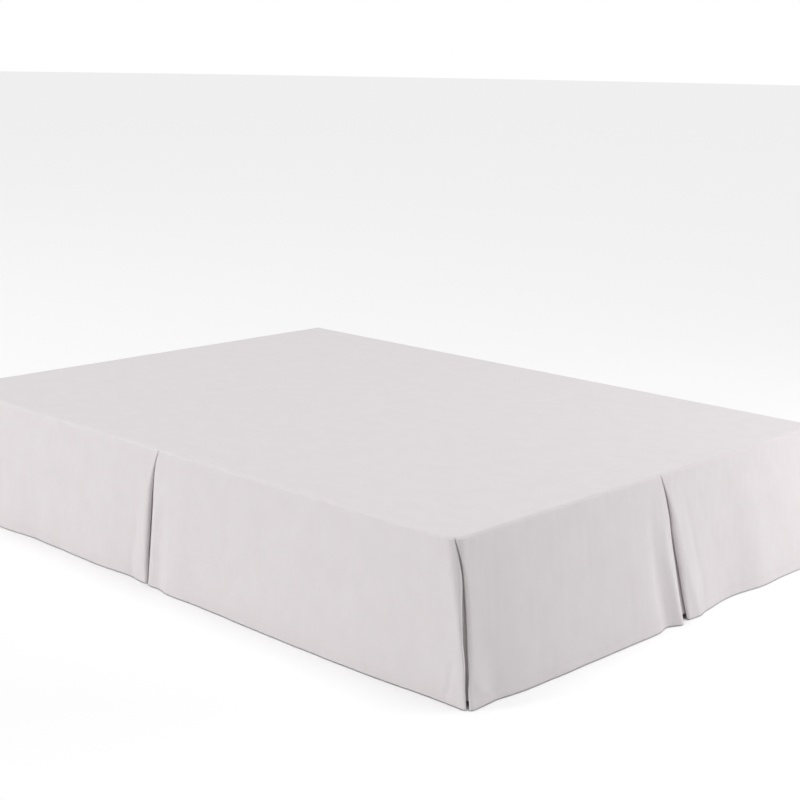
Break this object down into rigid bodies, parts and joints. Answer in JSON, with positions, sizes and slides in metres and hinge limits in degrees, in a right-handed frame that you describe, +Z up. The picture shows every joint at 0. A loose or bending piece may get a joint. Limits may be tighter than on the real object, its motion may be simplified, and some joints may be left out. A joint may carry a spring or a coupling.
{
  "type": "bed skirt on a bed base",
  "caption": "Tailored bed skirt with inverted pleats mid-side and at the foot corners, falling to the floor over a plain bed base on legs.",
  "frame": {"origin": "on the floor under the middle of the part's bounding box", "axes": "+X to the bed's right when seen from its foot, +Y to its head, +Z up"},
  "size_m": [1.636, 2.1428, 0.3556],
  "materials": {
    "skirt_cloth": "brushed plain weave, matte, pale grey with a faint lilac tint",
    "foundation_cover": "plain woven cover, matte, light grey",
    "leg_wood": "dark stained, satin"
  },
  "bodies": {
    "root": {"deck": "skirt_cloth", "drop_left_foot": "skirt_cloth", "drop_left_head": "skirt_cloth", "drop_right_foot": "skirt_cloth", "drop_right_head": "skirt_cloth", "drop_foot_left": "skirt_cloth", "drop_foot_right": "skirt_cloth", "underlay_left": "skirt_cloth", "underlay_right": "skirt_cloth", "underlay_foot": "skirt_cloth", "underlay_left_corner": "skirt_cloth", "underlay_right_corner": "skirt_cloth", "base_box": "foundation_cover", "leg_left_foot": "leg_wood", "leg_left_middle": "leg_wood", "leg_left_head": "leg_wood", "leg_right_foot": "leg_wood", "leg_right_middle": "leg_wood", "leg_right_head": "leg_wood"}
  },
  "joints": []
}
